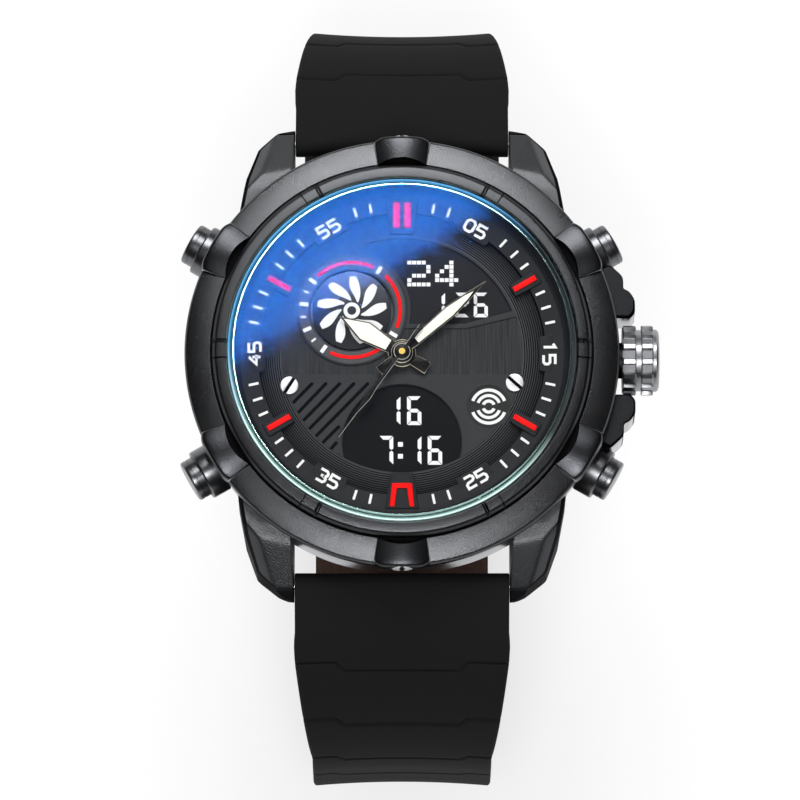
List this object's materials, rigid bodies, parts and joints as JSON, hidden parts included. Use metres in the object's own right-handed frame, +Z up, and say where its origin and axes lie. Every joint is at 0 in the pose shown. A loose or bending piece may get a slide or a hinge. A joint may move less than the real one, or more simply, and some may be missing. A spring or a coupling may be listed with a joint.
{
  "type": "sports watch",
  "caption": "Sports wristwatch with analogue hands, digital windows, screw-look bezel, side pushers, crown and a two-piece rubber strap with buckle.",
  "frame": {"origin": "on the surface that the strap loop stands on, below the axis of the hands", "axes": "+Z up out of the dial, +Y towards twelve o'clock, +X towards the crown"},
  "size_m": [0.0534, 0.0854, 0.0642],
  "materials": {
    "black_case": "bead-blasted black PVD",
    "black_bezel": "bead-blasted gunmetal PVD",
    "polished_dark": "polished dark steel",
    "steel": "polished steel",
    "crystal": "mineral glass with a blue coating",
    "gasket": "matte",
    "dial_black": "matte dial paint",
    "marker_red": "satin red",
    "lcd": "negative liquid crystal panel",
    "hand_white": "luminous paint in a black frame",
    "hand_black": "satin black",
    "disc_white": "white print on black",
    "brass": "turned",
    "module": "stamped",
    "holder": "moulded",
    "board": "solder mask",
    "copper": "enamelled winding",
    "cell": "nickel plated",
    "strap_rubber": "matte moulded",
    "lining_leather": "brown, fine grain"
  },
  "bodies": {
    "case": {"mid_case": "black_case", "bezel_outer": "black_bezel", "bezel_inner": "black_bezel", "bezel_screws": "steel", "crystal": "crystal", "crystal_gasket": "gasket", "chapter_ring": "dial_black", "hour_markers": "marker_red", "dial_plate": "dial_black", "dial_screws": "steel", "subdial_ring": "dial_black", "lcd_upper": "lcd", "lcd_lower": "lcd", "movement_module": "module", "movement_holder": "holder", "circuit_board": "board", "stepper_coil": "copper", "battery": "cell", "battery_clip": "steel", "buzzer": "brass", "case_back": "steel", "case_back_gasket": "gasket", "case_back_screws": "steel", "crown_tube": "steel", "pusher_tubes": "polished_dark", "pusher_spring_2": "steel", "pusher_spring_4": "steel", "pusher_spring_8": "steel", "pusher_spring_10": "steel", "spring_bar_12": "steel", "spring_bar_6": "steel"},
    "subdial": {"subdial_disc": "disc_white"},
    "hour": {"hour_hand": "hand_white", "hour_wheel": "brass"},
    "minute": {"minute_hand": "hand_white", "cannon_pinion": "brass"},
    "second": {"second_hand": "hand_black", "second_arbor": "brass"},
    "stem_turn": {"stem_pinion": "brass"},
    "crown": {"crown": "polished_dark", "crown_stem": "steel", "crown_gasket": "gasket"},
    "button_2": {"pusher_2": "polished_dark", "pusher_clip_2": "steel"},
    "button_4": {"pusher_4": "polished_dark", "pusher_clip_4": "steel"},
    "button_8": {"pusher_8": "polished_dark", "pusher_clip_8": "steel"},
    "button_10": {"pusher_10": "polished_dark", "pusher_clip_10": "steel"},
    "strap_upper": {"strap_12": "strap_rubber", "lining_12": "lining_leather", "keeper_fixed": "strap_rubber", "buckle_pin": "steel"},
    "strap_lower": {"strap_6": "strap_rubber", "lining_6": "lining_leather"},
    "keeper": {"keeper_free": "strap_rubber"},
    "buckle": {"buckle_frame": "black_case"},
    "tongue": {"buckle_tongue": "black_case"}
  },
  "joints": [
    {"name": "minute_turn", "type": "hinge", "parent": "case", "child": "minute", "pos_m": [0, 0, 0.06131], "axis": [0, 0, -1], "continuous": true},
    {"name": "hour_turn", "type": "hinge", "parent": "case", "child": "hour", "pos_m": [0, 0, 0.06131], "axis": [0, 0, -1], "continuous": true},
    {"name": "second_turn", "type": "hinge", "parent": "case", "child": "second", "pos_m": [0, 0, 0.06131], "axis": [0, 0, -1], "continuous": true},
    {"name": "disc_turn", "type": "hinge", "parent": "case", "child": "subdial", "pos_m": [-0.0056, 0.005, 0.06061], "axis": [0, 0, -1], "continuous": true},
    {"name": "crown_turn", "type": "hinge", "parent": "case", "child": "stem_turn", "pos_m": [0, 0, 0.05741], "axis": [1, 0, 0], "continuous": true},
    {"name": "crown_pull", "type": "slide", "parent": "stem_turn", "child": "crown", "axis": [1, 0, 0], "range_m": [0, 0.0012]},
    {"name": "button_2_press", "type": "slide", "parent": "case", "child": "button_2", "axis": [-0.866, -0.5, 0], "range_m": [0, 0.0009], "stiffness_N_per_m": 800, "springref_m": -0.001, "deforming": ["pusher_spring_2"]},
    {"name": "button_4_press", "type": "slide", "parent": "case", "child": "button_4", "axis": [-0.866, 0.5, 0], "range_m": [0, 0.0009], "stiffness_N_per_m": 800, "springref_m": -0.001, "deforming": ["pusher_spring_4"]},
    {"name": "button_8_press", "type": "slide", "parent": "case", "child": "button_8", "axis": [0.866, 0.5, 0], "range_m": [0, 0.0009], "stiffness_N_per_m": 800, "springref_m": -0.001, "deforming": ["pusher_spring_8"]},
    {"name": "button_10_press", "type": "slide", "parent": "case", "child": "button_10", "axis": [0.866, -0.5, 0], "range_m": [0, 0.0009], "stiffness_N_per_m": 800, "springref_m": -0.001, "deforming": ["pusher_spring_10"]},
    {"name": "strap_upper_swing", "type": "hinge", "parent": "case", "child": "strap_upper", "pos_m": [0, 0.0253, 0.05551], "axis": [1, 0, 0], "range_deg": [-2, 60]},
    {"name": "strap_lower_swing", "type": "hinge", "parent": "case", "child": "strap_lower", "pos_m": [0, -0.0253, 0.05551], "axis": [-1, 0, 0], "range_deg": [-2, 60]},
    {"name": "keeper_slide", "type": "hinge", "parent": "strap_upper", "child": "keeper", "pos_m": [0, 0.0167, 0.026], "axis": [1, 0, 0], "range_deg": [-8, 30]},
    {"name": "buckle_swing", "type": "hinge", "parent": "strap_upper", "child": "buckle", "pos_m": [0, 0.0167, 0.0015], "axis": [1, 0, 0], "range_deg": [-60, 20]},
    {"name": "tongue_swing", "type": "hinge", "parent": "buckle", "child": "tongue", "pos_m": [0, 0.0167, 0.0015], "axis": [1, 0, 0], "range_deg": [0, 100]}
  ],
  "couplings": [
    {"joint": "hour_turn", "follows": "minute_turn", "ratio": 0.083333},
    {"joint": "second_turn", "follows": "minute_turn", "ratio": 60},
    {"joint": "disc_turn", "follows": "minute_turn", "ratio": 60}
  ]
}
